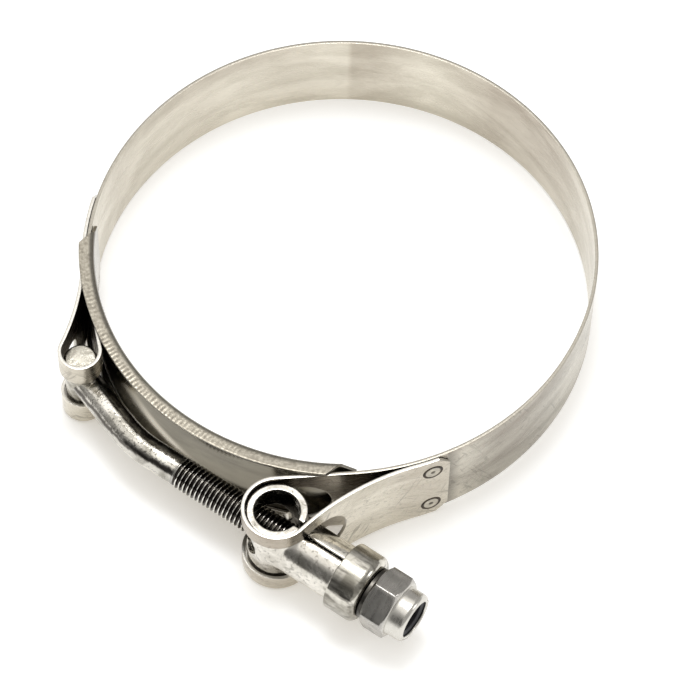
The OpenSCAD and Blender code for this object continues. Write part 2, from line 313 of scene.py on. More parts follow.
class Shaper(Tree):
    """A geometry tree; its inputs are the sizes and the path that a piece is made to."""

    def __init__(self, name, **sizes):
        kinds = {label: "Object" if isinstance(size, bpy.types.Object) else "Float"
                 for label, size in sizes.items()}
        super().__init__(name, "GeometryNodeTree", {"Geometry": "Geometry", **kinds}, "Geometry")
        self.sizes = sizes
        self.given = [self.inside[label] for label in sizes]

    def store(self, geometry, label, value, kind="FLOAT"):
        return self.put("GeometryNodeStoreNamedAttribute", data_type=kind, domain="POINT",
                        named={"Geometry": geometry, "Name": label, "Value": value})

    def start_flat(self):
        """The blank with its flat coordinates kept as an attribute, and those coordinates."""
        place = self.put("GeometryNodeInputPosition")
        return self.store(self.inside["Geometry"], "flat", place, "FLOAT_VECTOR"), self.axes(place)

    def follow(self, path, length):
        """The place and the direction at a length along a curve object."""
        curve = self.put("GeometryNodeObjectInfo", named={"Object": path}, out="Geometry")
        place = self.put("GeometryNodeSampleCurve", mode="LENGTH", named={"Curves": curve, "Length": length},
                         out="Position")
        return place, place.node.outputs["Tangent"]

    def sideways(self, first, second):
        return self.vector("NORMALIZE", self.vector("CROSS_PRODUCT", first, second))

    def move(self, geometry, where):
        return self.put("GeometryNodeSetPosition", named={"Geometry": geometry, "Position": where})

    def paint(self, geometry, finish, **where):
        return self.put("GeometryNodeSetMaterial", named={"Geometry": geometry, "Material": finish, **where})

    def end(self, geometry, finish, edge_finish=None):
        """Ends every tree: real geometry with its finish, and an edge finish on the second slot's faces."""
        real = self.put("GeometryNodeRealizeInstances", geometry)
        if edge_finish is None:
            self.give(self.paint(real, finish))
            return
        slot = self.put("GeometryNodeInputMaterialIndex")
        edge = self.put("FunctionNodeCompare", slot, 1, data_type="INT", operation="EQUAL")
        faces = self.put("FunctionNodeBooleanMath", edge, operation="NOT")
        cut = self.paint(real, edge_finish, Selection=edge)
        self.give(self.paint(cut, finish, Selection=faces))


def run_tree(piece, builder):
    """Puts a tree on a piece with its sizes, and keeps what all the modifiers make as a plain mesh."""
    modifier = piece.modifiers.new(builder.tree.name, "NODES")
    modifier.node_group = builder.tree
    for item in builder.tree.interface.items_tree:
        if item.name in builder.sizes:
            modifier[item.identifier] = builder.sizes[item.name]
    evaluated = piece.evaluated_get(bpy.context.evaluated_depsgraph_get())
    mesh = bpy.data.meshes.new_from_object(evaluated)
    piece.modifiers.clear()
    old = piece.data
    piece.data = mesh
    bpy.data.meshes.remove(old)


# Shader groups shared by the finishes

def shader_group(name, *numbers):
    """A group that takes a place and some numbers, which come back with it as sockets."""
    g = Tree(name, "ShaderNodeTree", {"Vector": "Vector", **dict.fromkeys(numbers, "Float")}, "Float")
    return g, *(g.inside[label] for label in ("Vector", *numbers))


def grain_group():
    """Fine drawn lines: noise stretched along the first coordinate."""
    g, place, along, across = shader_group("drawn_grain", "Along", "Across")
    where = g.vector("MULTIPLY", place, g.xyz(along, across, across))
    g.give(g.noise(where, 1.0, 3.0, Roughness=0.6))
    return g.tree


def cloud_group():
    """Soft stains and rolled-in clouding, from nought to one."""
    g, place, scale, low, high = shader_group("rolled_clouding", "Scale", "Low", "High")
    g.give(g.soft_ramp(g.noise(place, scale, 5.0, Roughness=0.62, Distortion=0.6), low, high))
    return g.tree


def scuff_group():
    """Short handling scuffs, as a mask: thin streaks broken up by a coarser noise."""
    g, place, scale, amount, turn = shader_group("handling_scuffs", "Scale", "Amount", "Turn")
    aslant = g.put("ShaderNodeVectorRotate", rotation_type="Z_AXIS", named={"Vector": place, "Angle": turn})
    thin = g.vector("MULTIPLY", aslant, (0.12, 1.0, 1.0))
    lines = g.ramp(g.noise(thin, scale, 1.0, Distortion=1.2), 0.6, 0.68)
    held = g.calc("GREATER_THAN", g.noise(place, 120.0), g.calc("SUBTRACT", 1.0, amount))
    g.give(g.times(lines, held))
    return g.tree


GRAIN = grain_group()
CLOUD = cloud_group()
SCUFF = scuff_group()


class Finish(Nodes):
    """A material with a Principled shader, fed line by line."""

    def __init__(self, name, metallic=1.0):
        self.material = bpy.data.materials.new(name)
        self.material.use_nodes = True
        super().__init__(self.material.node_tree)
        self.shader = self.tree.nodes["Principled BSDF"].inputs
        self.feed("Metallic", metallic)

    def feed(self, label, value):
        self.fill(self.shader[label], value)

    def group(self, tree, **values):
        return self.put("ShaderNodeGroup", named=values, node_tree=tree)

    def cloud(self, where, scale, low, high):
        return self.group(CLOUD, Vector=where, Scale=scale, Low=low, High=high)

    def mark(self, label, out="Fac"):
        return self.put("ShaderNodeAttribute", out=out, attribute_name=label)

    def flat(self):
        """The coordinates on the flat blank."""
        return self.mark("flat", "Vector")

    def place(self):
        return self.put("ShaderNodeTexCoord", out="Object")

    def blend(self, factor, low, high):
        """A mix of two colours, each a socket or a plain colour."""
        low, high = ((*c, 1.0) if isinstance(c, tuple) else c for c in (low, high))
        return self.put("ShaderNodeMix", data_type="RGBA", out=2, named={"Factor": factor, 6: low, 7: high})

    def cover(self, amount, colour):
        """Lays a colour over the base colour so far."""
        so_far = self.shader["Base Color"].links[0].from_socket
        self.feed("Base Color", self.blend(amount, so_far, colour))

    def span(self, value, low, high):
        return self.ramp(value, 0.0, 1.0, low, high)

    def window(self, value, rise, fall, amount, measure=MM, before=0.0):
        """An amount between two soft ends along a coordinate, nought past them unless some lies before."""
        up = self.ramp(value, rise[0] * measure, rise[1] * measure, before, amount)
        down = self.ramp(value, fall[0] * measure, fall[1] * measure, 1.0, 0.0)
        return self.times(up, down)

    def bumps(self, height, distance, strength, **before):
        """Adds a bump of a height in millimetres to the shader's normal."""
        normal = self.put("ShaderNodeBump", named={
            "Strength": strength, "Distance": distance * MM, "Height": height, **before})
        self.feed("Normal", normal)
        return normal


# Colours: pairs are the dark and the light of one metal, single ones lie over it
BORE_STEEL = (0.595, 0.557, 0.468), (0.75, 0.705, 0.608)
OUTER_PAINTED_SHADE_STEEL = (0.19, 0.178, 0.153), (0.4, 0.383, 0.333)
PLATE_STEEL = (0.265, 0.253, 0.22), (0.385, 0.37, 0.322)
LIP_STEEL = (0.22, 0.2, 0.165), (0.36, 0.335, 0.28)
RING_EDGE_PAINTED_SHADE = (0.26, 0.24, 0.205), (0.44, 0.415, 0.36)
FOLDED_EDGE = (0.44, 0.42, 0.38), (0.72, 0.7, 0.65)
WELD_FACE = (0.36, 0.33, 0.28), (0.62, 0.58, 0.49)
WELD_RIM = (0.02, 0.015, 0.011), (0.075, 0.055, 0.038)
SHANK_STEEL = (0.42, 0.4, 0.35), (0.84, 0.81, 0.74)
HEAD_STEEL = (0.24, 0.222, 0.183), (0.6, 0.575, 0.505)
THREAD_STEEL = (0.66, 0.64, 0.59), (0.92, 0.9, 0.85)
TRUNNION_STEEL = (0.5, 0.475, 0.42), (0.74, 0.71, 0.65)
CUP_STEEL = (0.41, 0.393, 0.34), (0.68, 0.653, 0.59)
SEAT_PAINTED_SHADE = (0.05, 0.047, 0.042), (0.12, 0.112, 0.1)
NUT_STEEL = (0.32, 0.31, 0.29), (0.51, 0.49, 0.46)
RING_PLASTIC = (0.012, 0.012, 0.014), (0.04, 0.04, 0.043)
COLLAR_LIGHTER = (0.64, 0.62, 0.57)
PAINTED_REFLECTION_STREAK = (0.92, 0.89, 0.82)
TARNISH = (0.3, 0.27, 0.22)
BAND_DARK_PATCH = (0.27, 0.22, 0.17)
UPPER_EDGE_DARK = (0.24, 0.19, 0.145)
SCUFF_DARK = (0.1, 0.088, 0.07)
TAB_EDGE_PAINTED_SHADE = (0.07, 0.06, 0.048)
EYE_PAINTED_SHADE = (0.07, 0.055, 0.043)
LIP_END_DARK = (0.1, 0.09, 0.075)
BEND_PAINTED_SHADE = (0.06, 0.05, 0.042)
ROOT_DARK = (0.035, 0.03, 0.025)
PITS_AND_PAINTED_DARK = (0.03, 0.024, 0.02)
INSIDE_PAINTED_SHADE = (0.03, 0.027, 0.024)
SPECK = (0.16, 0.145, 0.12)
DRAW_MARK = (0.11, 0.1, 0.085)
CUP_DARK_BAND = (0.13, 0.115, 0.09)

# How the grain stretches along a strip, round a ring and on an edge, and the clouding along a strip
STRIP_GRAIN = {"Along": 90.0, "Across": 3800.0}
RING_GRAIN = {"Along": 1500.0, "Across": 140.0}
EDGE_GRAIN = {"Along": 3000.0, "Across": 500.0}
STRIP_STRETCH = (0.3, 1.0, 1.0)

# Darker patches along the band, in millimetres of strip: where each comes in and goes out, and how strong it
# is
BAND_PATCHES = (
    ((30, 36), (50, 56), 0.2), ((80, 92), (98, 112), 0.14), ((148.8, 149.9), (154, 163), 0.36),
    ((168, 180), (197, 216), 0.46), ((254, 264), (268, 276), 0.36), ((306, 316), (331, 340), 0.66),
    ((355, 361), (366, 372), 0.2))


def band_finish():
    """The band's strip: painted darker outside than in the bore as shade, scuffed, and with painted shade
    inside the folded eyes.
    """
    f = Finish("rolled_band")
    where = f.flat()
    along, height, depth = f.axes(where)
    outside = f.ramp(depth, -0.05 * MM, -0.2 * MM)
    formed = f.mark("formed")
    drawn = f.vector("MULTIPLY", where, STRIP_STRETCH)
    grain = f.group(GRAIN, Vector=where, **STRIP_GRAIN)
    cloud = f.cloud(drawn, 150.0, 0.34, 0.68)
    drift = f.cloud(drawn, 46.0, 0.4, 0.62)
    # Painted shade: the outer face gets a darker copy of the steel, more of it near the right tab
    outside_shade = f.plus(f.window(along, (244, 265), (268, 277), 0.5), 0.45)
    bore, shaded_outside = f.blend(cloud, *BORE_STEEL), f.blend(cloud, *OUTER_PAINTED_SHADE_STEEL)
    f.feed("Base Color", f.blend(f.times(outside, outside_shade), bore, shaded_outside))
    f.cover(f.span(drift, 0.0, 0.2), TARNISH)

    # Darker brown patches: a faint random one over the strip and the listed ones along it, stronger towards
    # the top
    heat = f.noise(f.vector("MULTIPLY", where, (1.0, 0.12, 0.0)), 62.0, 1.0)
    heat = f.ramp(heat, 0.4, 0.62, 0.0, 0.13)
    for rise, fall, amount in BAND_PATCHES:
        patch = f.window(along, rise, fall, amount)
        heat = f.plus(heat, f.times(patch, f.span(cloud, 1.15, 0.75)))
    upper = f.ramp(height, -0.5 * BAND_W * MM, 0.1 * BAND_W * MM, 0.5, 1.05)
    f.cover(f.times(heat, upper), BAND_DARK_PATCH)
    # Painted shade: a dark line on the band's outer face just beside the tab's end
    tab_edge_shade = f.window(along, (276.8, 279.4), (279.6, 280.4), 0.6)
    f.cover(f.times(tab_edge_shade, outside), TAB_EDGE_PAINTED_SHADE)
    # Darker in clouds towards the band's upper edge
    toward_top = f.ramp(height, 0.25 * BAND_W * MM, 0.49 * BAND_W * MM, 0.0, 0.5)
    f.cover(f.times(toward_top, drift), UPPER_EDGE_DARK)

    long_scuff = f.group(SCUFF, Vector=where, Scale=1300.0, Amount=0.5, Turn=24 * DEGREE)
    cross_scuff = f.group(SCUFF, Vector=where, Scale=1000.0, Amount=0.52, Turn=-62 * DEGREE)
    scuff = f.span(f.most(long_scuff, cross_scuff), 0.0, 0.75)
    scuff = f.most(scuff, f.ramp(f.noise(where, 1500.0, 3.0), 0.53, 0.68, 0.0, 0.5))
    handled = f.most(formed, outside)
    scuff = f.times(scuff, f.span(handled, 0.06, 0.55))
    scuff = f.times(scuff, f.span(f.cloud(where, 110.0, 0.38, 0.6), 0.2, 1.1))
    f.cover(scuff, SCUFF_DARK)
    # Painted shade on the faces that look into the folded eyes
    f.cover(f.span(f.times(outside, formed), 0.0, 0.88), EYE_PAINTED_SHADE)

    worn = f.plus(grain, f.span(cloud, 0.12, -0.1))
    f.feed("Roughness", f.ramp(worn, 0.2, 0.8, 0.18, 0.34))
    f.feed("Anisotropic", 0.35)
    f.bumps(scuff, 0.012, 0.5, Normal=f.bumps(grain, 0.012, 0.5))
    return f.material


def bridge_finish():
    """The bridge's sheet: a bright plate with a painted reflection streak, between matt, ribbed lips."""
    f = Finish("pressed_bridge")
    where = f.flat()
    along, height, _ = f.axes(where)
    across = f.calc("ABSOLUTE", height)
    lip = f.ramp(across, (LIP_ROOT + 0.4) * MM, (LIP_ROOT + 1.3) * MM)
    grain = f.group(GRAIN, Vector=where, **STRIP_GRAIN)
    cloud = f.cloud(f.vector("MULTIPLY", where, STRIP_STRETCH), 170.0, 0.34, 0.68)
    # Painted reflection: a pale streak across the plate beside the shank, set by a window along it and across
    # it
    slope = f.calc("MULTIPLY_ADD", along, 0.33, height)
    painted_reflection = f.times(f.window(slope, (8.9, 10.4), (11.8, 13.4), 1.0),
                    f.window(along, (33, 40), (46, 53), 1.0))
    plate = f.blend(painted_reflection, f.blend(cloud, *PLATE_STEEL), PAINTED_REFLECTION_STREAK)
    ribbed = f.blend(f.ramp(f.noise(where, 1900.0), 0.35, 0.65), *LIP_STEEL)
    # The lips darker towards the plate's far end
    ribbed = f.blend(f.window(along, (50, 66), (90, 91), 0.34), ribbed, LIP_END_DARK)
    f.feed("Base Color", f.blend(lip, plate, ribbed))
    # Painted shade in the crease where the plate bends into the lips
    into_bend = f.ramp(across, (LIP_ROOT - 0.6) * MM, LIP_ROOT * MM, 0.0, 0.9)
    out_of_bend = f.ramp(across, (LIP_ROOT + 0.2) * MM, (LIP_ROOT + 0.9) * MM)
    f.cover(f.calc("SUBTRACT", into_bend, out_of_bend, use_clamp=True), BEND_PAINTED_SHADE)
    f.feed("Roughness", f.plus(f.span(lip, 0.0, 0.2), f.span(grain, 0.08, 0.22)))
    f.bumps(grain, 0.012, 0.4)
    return f.material


def cut_edge_finish():
    """Sheared edge: bright, with the faint upright tears that shearing leaves; painted darker round the ring
    as shade.
    """
    f = Finish("sheared_edge")
    grain = f.group(GRAIN, Vector=f.flat(), **EDGE_GRAIN)
    # Painted shade: the edge round the ring is a darker copy of the edge on the folded ends
    rolled, folded = f.blend(grain, *RING_EDGE_PAINTED_SHADE), f.blend(grain, *FOLDED_EDGE)
    f.feed("Base Color", f.blend(f.mark("formed"), rolled, folded))
    f.feed("Roughness", f.span(grain, 0.22, 0.42))
    f.bumps(grain, 0.012, 0.4)
    return f.material


def weld_finish():
    """Spot weld: a heat-browned ring round a grey pressed face."""
    f = Finish("spot_weld")
    cloud = f.cloud(f.flat(), 700.0, 0.3, 0.7)
    f.feed("Base Color", f.blend(f.mark("ring"), f.blend(cloud, *WELD_FACE), f.blend(cloud, *WELD_RIM)))
    f.feed("Roughness", f.span(cloud, 0.3, 0.55))
    f.bumps(cloud, 0.03, 0.5)
    return f.material


def forged_finish(name, steel, rough, pit):
    """Forged and rolled rod: bright but uneven, with a fine pitted skin."""
    f = Finish(name)
    where = f.place()
    cloud = f.cloud(where, 260.0, 0.32, 0.66)
    pits = f.noise(where, 1100.0, 4.0, Roughness=0.65)
    f.feed("Base Color", f.blend(cloud, *steel))
    mixed = f.plus(f.span(cloud, -0.12, 0.12), pits)
    f.feed("Roughness", f.ramp(mixed, 0.25, 0.75, *rough))
    f.bumps(pits, pit, 0.6)
    return f


def thread_finish():
    """Rolled thread: the same rod, darker in the roots."""
    f = forged_finish("rolled_thread", THREAD_STEEL, (0.08, 0.22), 0.02)
    f.cover(f.ramp(f.mark("crest"), 0.6, 1.0, 0.98, 0.0), ROOT_DARK)
    return f.material


def trunnion_finish():
    """Pressed sheet, bright outside and painted dark inside as shade."""
    f = forged_finish("pressed_trunnion", TRUNNION_STEEL, (0.1, 0.28), 0.02)
    f.cover(f.ramp(f.noise(f.place(), 1300.0, 3.0), 0.55, 0.7, 0.0, 0.6), SPECK)
    # Painted shade over the insides of the barrel and the neck
    f.cover(f.span(f.mark("inner"), 0.0, 0.93), INSIDE_PAINTED_SHADE)
    return f.material


def shank_finish():
    """Forged shank: a painted dark reflection along the side that faces the band, a painted dark reflection
    line that climbs, with painted shade below it, and dark pits.
    """
    f = forged_finish("forged_shank", SHANK_STEEL, (0.06, 0.24), 0.09)
    along, angle, _ = f.axes(f.flat())
    blotch = f.cloud(f.place(), 420.0, 0.3, 0.7)
    ragged = f.plus(angle, f.span(blotch, -0.2, 0.2))
    # Painted dark reflections: a band on the side towards the band, and a line under the highlight that also
    # darkens the lower side a little; the pocks are real pits
    painted_dark_side = f.window(ragged, (100, 118), (150, 175), 0.92, DEGREE)
    climb = f.ramp(along, 10.0 * MM, 26.0 * MM, 4 * DEGREE, -21 * DEGREE)
    seam = f.plus(f.plus(angle, f.span(blotch, -0.11, 0.11)), climb)
    line = f.window(seam, (13, 22), (32, 42), 0.88, DEGREE, before=0.32)
    pocked = f.ramp(f.noise(f.place(), 2300.0), 0.56, 0.68, 0.0, 0.7)
    f.cover(f.most(f.most(painted_dark_side, line), pocked), PITS_AND_PAINTED_DARK)
    return f.material


def turned_finish(name, steel, rough):
    """Turned or drawn ring: faint rings round its own axis over soft clouding."""
    f = Finish(name)
    where = f.place()
    rings = f.group(GRAIN, Vector=where, **RING_GRAIN)
    cloud = f.cloud(where, 230.0, 0.34, 0.66)
    f.feed("Base Color", f.blend(cloud, *steel))
    mixed = f.plus(f.span(cloud, 0.12, -0.12), rings)
    f.feed("Roughness", f.ramp(mixed, 0.25, 0.75, *rough))
    f.bumps(rings, 0.01, 0.4)
    return f


def nut_finish():
    """Machined nut: darker flats, and a lighter collar."""
    f = turned_finish("machined_nut", NUT_STEEL, (0.18, 0.38))
    along = f.vector("DOT_PRODUCT", f.place(), (1.0, 0.0, 0.0), out="Value")
    start = NUT_X + WASHER_LEN + HEX_LEN
    # The collar lighter than the hexagon
    f.cover(f.ramp(along, (start - 0.3) * MM, (start + 0.1) * MM, 0.0, 0.8), COLLAR_LIGHTER)
    return f.material


def cup_finish():
    """Drawn cup: bright, with dark draw marks along its wall, and darker in two bands round it."""
    f = Finish("drawn_cup")
    where = f.place()
    height = f.axes(where)[2]
    drawn = f.vector("MULTIPLY", where, (0.2, 1.0, 1.0))
    marks = f.ramp(f.noise(drawn, 800.0, 3.0, Roughness=0.6), 0.5, 0.66, 0.0, 0.75)
    cloud = f.cloud(where, 260.0, 0.34, 0.66)
    f.feed("Base Color", f.blend(cloud, *CUP_STEEL))
    f.cover(marks, DRAW_MARK)
    # Darker in two bands by height, broken up by the clouding
    dark_bands = f.plus(f.window(height, (-9, -8), (2.2, 3.2), 0.45),
                  f.window(height, (4.6, 5.4), (6.1, 6.5), 0.45))
    f.cover(f.times(dark_bands, f.span(cloud, 1.2, 0.7)), CUP_DARK_BAND)
    f.feed("Roughness", f.span(cloud, 0.24, 0.09))
    f.bumps(marks, 0.02, 0.4)
    return f.material


def moulded_finish():
    """Dark moulded ring with a fine matt skin."""
    f = Finish("locking_ring", metallic=0.0)
    skin = f.noise(f.place(), 2600.0, 3.0)
    f.feed("Base Color", f.blend(skin, *RING_PLASTIC))
    f.feed("Roughness", f.span(skin, 0.45, 0.62))
    f.bumps(skin, 0.02, 0.4)
    return f.material


BAND_FINISH = band_finish()
BRIDGE_FINISH = bridge_finish()
EDGE_FINISH = cut_edge_finish()
WELD_FINISH = weld_finish()
SHANK_FINISH = shank_finish()
HEAD_FINISH = forged_finish("forged_head", HEAD_STEEL, (0.16, 0.36), 0.12).material
THREAD_FINISH = thread_finish()
TRUNNION_FINISH = trunnion_finish()
CUP_FINISH = cup_finish()
# The nut's washer face sits in the gap behind the cup and is painted near black as shade
SEAT_SHADE_FINISH = turned_finish("nut_seat", SEAT_PAINTED_SHADE, (0.25, 0.4)).material
NUT_FINISH = nut_finish()
INSERT_FINISH = moulded_finish()


# Runs: a straight one is (from, to, spacing), an arc is (centre, radius, from, to, spacing)

def run_length(run):
    if len(run) == 3:
        return (run[1] - run[0]).length
    return run[1] * abs(radians(run[3] - run[2]))


def run_points(run, step):
    """Points along a run, without its last."""
    n = max(2, ceil(run_length(run) / step))
    if len(run) == 3:
        return [run[0].lerp(run[1], i / n) for i in range(n)]
    centre, r, start, end, _ = run
    return [centre + r * unit(start + (end - start) * i / n) for i in range(n)]


def path_points(runs, step):
    """Points along runs that follow each other, with the last."""
    last = runs[-1]
    end = last[1] if len(last) == 3 else last[0] + last[1] * unit(last[3])
    return [p for run in runs for p in run_points(run, step)] + [end]


# The band: a stamped blank, rolled along its path

def strip_end(eye, pin_r, slot_half, slot_reach, tab_len):
    """One end of the band at the right, from the ring outwards: its runs, its length and its slot."""
    mid = BAND_T / 2
    shoulder_r = BORE_R + SHOULDER_FLAT + mid
    tab_r = shoulder_r + BAND_T + WELD_GAP
    centre = -SHOULDER_FLAT * unit(LEAVE)
    eye_r = pin_r + EYE_PLAY + mid
    span = (eye - centre).length
    bearing = heading(eye - centre)
    off = bearing + degrees(acos((shoulder_r + eye_r) / span))
    leg_from = centre + shoulder_r * unit(off)
    leg_to = eye - eye_r * unit(off)
    far, near = LEG_R + tab_r, LEG_R + eye_r
    on = bearing + degrees(acos((far * far + span * span - near * near) / (2 * far * span)))
    sweep = centre + far * unit(on)
    eye_end = heading(sweep - eye)
    runs = [
        (centre, shoulder_r, LEAVE, off, 1.0),
        (leg_from, leg_to, 0.6),
        (eye, eye_r, off + 180, eye_end + 360, 0.25),
        (sweep, LEG_R, eye_end + 180, on + 180, 0.6),
        (centre, tab_r, on, on + degrees(tab_len / tab_r), 0.6),
    ]
    lengths = [run_length(r) for r in runs]
    slot_run = slot_reach - slot_half
    slot = (lengths[0] + lengths[1] - slot_run, sum(lengths[:3]) + slot_run, slot_half)
    return runs, sum(lengths), slot


def band_layout():
    """The whole strip: its path, its slots, the places along it that need points, and its length."""
    fine, coarse, closest, slot_steps = 0.15, 0.3, 0.012, 12
    right, right_len, right_slot = strip_end(
        BARREL_AT, BARREL_R, NECK_R + NECK_SLOT_PLAY, NECK_SLOT_REACH, TRUNNION_TAB)
    left, left_len, left_slot = strip_end(
        Vector((-HEAD_AT.x, HEAD_AT.y)), HEAD_D / 2, SHANK_D / 2 + SHANK_SLOT_PLAY, SHANK_SLOT_REACH,
        HEAD_TAB)
    ring = (Vector((0, 0)), BORE_R + BAND_T / 2, 180 - LEAVE, LEAVE, 1.0)
    path = [Vector((-p.x, p.y)) for p in reversed(path_points(left, fine)[1:])]
    path += run_points(ring, coarse) + path_points(right, fine)
    start = left_len + run_length(ring)
    total = start + right_len
    slots = [(left_len - left_slot[1], left_len - left_slot[0], left_slot[2]),
             (start + right_slot[0], start + right_slot[1], right_slot[2])]
    stations, s = [0.0], 0.0
    for run in [*reversed(left), ring, *right]:
        n = max(2, ceil(run_length(run) / run[-1]))
        stations += [s + run_length(run) * (i + 1) / n for i in range(n)]
        s += run_length(run)
    for a, b, half in slots:
        for i in range(slot_steps + 1):
            bow = half * sin(pi / 2 * i / slot_steps)
            stations += [a - bow, b + bow]
    stations += [TAB_CHAMFER, total - TAB_CHAMFER]
    kept = [0.0]
    for s in sorted(stations):
        if s - kept[-1] > closest:
            kept.append(min(s, total))
    return path, slots, kept, total


def band_blank(slots, stations, total):
    """The flat stamping: length along X, width along Y, with the slots out and the tab corners cut."""

    def slot_edge(s):
        for a, b, half in slots:
            past = max(a - s, s - b, 0.0)
            if past < half:
                return sqrt(half * half - past * past)
        return 0.0

    def outer_edge(s):
        return BAND_W / 2 - max(0.0, TAB_CHAMFER - min(s, total - s))

    def folded(s):
        """One inside a folded end, falling to nought round the ring."""
        reach = max(slots[0][1] - s, s - slots[1][0])
        return min(1.0, max(0.0, 1.0 + reach / FOLD_FADE))

    rows = [0.0, 0.08, 0.3, 0.55, 0.8, 0.94, 1.0]
    verts, faces = [], []
    for side in (1, -1):
        quads = grid_faces(len(stations), len(rows), base=len(verts))
        faces += quads if side > 0 else [q[::-1] for q in quads]
        for s in stations:
            low, high = slot_edge(s), outer_edge(s)
            verts += [(s, side * (low + (high - low) * t), 0.0) for t in rows]
    return mesh_piece("band_strip", verts, faces, formed=[folded(v[0]) for v in verts])


def weld_blank(total):
    """The spot welds on the flat blank: shallow pressed rounds with a raised, browned rim."""
    profile = [(0.0, 0.05), (0.4, 0.045), (0.52, 0.02), (1.2, 0.015), (1.4, 0.03), (1.5, 0.07), (1.85, 0.07),
               (1.95, 0.03), (2.05, -0.03)]
    burnt = [0.9, 0.8, 0.0, 0.0, 0.15, 1.0, 1.0, 1.0, 1.0]
    segments = 36
    verts, faces, ring = [], [], []
    for s in (WELD_BACK, total - WELD_BACK):
        for z in (WELD_OUT, -WELD_OUT):
            faces += grid_faces(segments, len(profile), base=len(verts), loop="rows", flip=True)
            for i in range(segments):
                a = 2 * pi * i / segments
                verts += [(s + r * cos(a), z + r * sin(a), BAND_T / 2 + h) for r, h in profile]
                ring += burnt
    return mesh_piece("spot_welds", verts, faces, ring=ring)


def roll_tree(path, finish, edge_finish=None):
    """Rolls a flat blank along a path: X is length along it, Y height, Z the offset from its middle."""
    b = Shaper("roll_along_path", Path=path)
    kept, flat = b.start_flat()
    place, tangent = b.follow(b.given[0], flat[0])
    offset = b.scaled(b.sideways(tangent, (0, 0, 1)), flat[2])
    height = b.xyz(0.0, 0.0, flat[1])
    b.end(b.move(kept, b.vector("ADD", b.vector("ADD", place, offset), height)), finish, edge_finish)
    return b


def make_band():
    path, slots, stations, total = band_layout()
    curve = path_curve("band_path", path)
    strip = band_blank(slots, stations, total)
    give_gauge(strip, BAND_T, BAND_EASE, BAND_FINISH)
    run_tree(strip, roll_tree(curve, BAND_FINISH, EDGE_FINISH))
    smooth(strip, 40)
    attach(strip, "band")
    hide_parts("band")
    welds = weld_blank(total)
    run_tree(welds, roll_tree(curve, WELD_FINISH))
    smooth(welds, 60)
    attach(welds, "band")
    bpy.data.objects.remove(curve)


# The bridge: a flanged plate with ribbed lips

def bridge_blank(half_v, lip_v):
    """The flat plate: arc length along X, section along Y, its ends rounded and its lips cut back."""
    total = radians(BRIDGE_TO - BRIDGE_FROM) * BORE_R
    step, past_bend, plate_rows, lip_rows = 0.14, 0.7, 8, 9

    def set_in(v):
        out = abs(v) - lip_v
        if out > 0:
            return LIP_SETBACK + past_bend + LIP_SLANT * out / (half_v - lip_v)
        rise = max(0.0, BRIDGE_CORNER + out)
        return BRIDGE_CORNER - sqrt(max(0.0, BRIDGE_CORNER ** 2 - rise * rise))

    plate = [lip_v * (1 - cos(pi / 2 * i / plate_rows)) for i in range(plate_rows + 1)]
    lip = [lip_v + (half_v - lip_v) * i / lip_rows for i in range(1, lip_rows + 1)]
    rows = sorted({side * round(v, 5) for v in plate + lip for side in (1, -1)})
    n = ceil(total / step)
    verts = []
    for v in rows:
        start, end = set_in(v), total - set_in(v)
        verts += [(start + (end - start) * i / n, v, 0.0) for i in range(n + 1)]
    return mesh_piece("bridge_plate", verts, grid_faces(len(rows), n + 1, flip=True))


def bridge_tree(sizes):
    """Bends a flat plate into its flanged section and round the bore, with fine ribs in the lips."""
    b = Shaper("press_bridge", **sizes)
    calc = b.calc
    section, half, bore_r, first, pitch, rib_height, rib_start, rib_full = b.given
    kept, flat = b.start_flat()
    place, tangent = b.follow(section, b.plus(flat[1], half))
    here = b.put("GeometryNodeInputPosition")
    turn = b.times(calc("DIVIDE", flat[0], pitch), 2 * pi)
    wave = calc("SINE", b.plus(turn, b.times(b.noise(here, 420.0), 3.0)))
    mask = b.soft_ramp(calc("ABSOLUTE", flat[1]), rib_start, rib_full)
    pressed = b.ramp(b.noise(here, 190.0), 0.35, 0.65, 0.25, 1.0)
    rib = b.times(b.times(wave, pressed), b.times(mask, rib_height))
    offset = b.scaled(b.sideways((0, 1, 0), tangent), b.plus(flat[2], rib))
    bent = b.axes(b.vector("ADD", place, offset))
    angle = b.plus(calc("DIVIDE", flat[0], bore_r), first)
    where = b.xyz(b.times(bent[0], calc("COSINE", angle)), b.times(bent[0], calc("SINE", angle)), bent[2])
    b.end(b.move(kept, where), BRIDGE_FINISH, EDGE_FINISH)
    return b


def make_bridge():
    mid = LIP_BEND + BRIDGE_T / 2
    pivot = Vector((BORE_R + LIP_BEND + BRIDGE_T, LIP_ROOT))
    bend = [pivot + mid * unit(180 - 90 * i / 24) for i in range(25)]
    half = [Vector((BORE_R + BRIDGE_T / 2, 0))] + bend + [Vector((BORE_R + LIP_REACH, LIP_ROOT + mid))]
    section = [(p.x, 0, -p.y) for p in reversed(half[1:])] + [(p.x, 0, p.y) for p in half]
    half_v = LIP_ROOT + mid * pi / 2 + LIP_REACH - LIP_BEND - BRIDGE_T
    within_curve = 0.002
    curve = path_curve("bridge_section", section)
    plate = bridge_blank(half_v - within_curve, LIP_ROOT)
    give_gauge(plate, BRIDGE_T, BRIDGE_EASE, BRIDGE_FINISH)
    run_tree(plate, bridge_tree({
        "Section": curve, "Half": half_v * MM, "Bore": BORE_R * MM, "From": radians(BRIDGE_FROM),
        "Rib pitch": RIB_PITCH * MM, "Rib height": RIB_HEIGHT * MM, "Rib start": RIB_START * MM,
        "Rib full": RIB_FULL * MM}))
    smooth(plate, 40)
    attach(plate, "band")
    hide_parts("bridge")
    bpy.data.objects.remove(curve)


# The T-bolt: one rod along its path, with a rolled thread, and its cross head

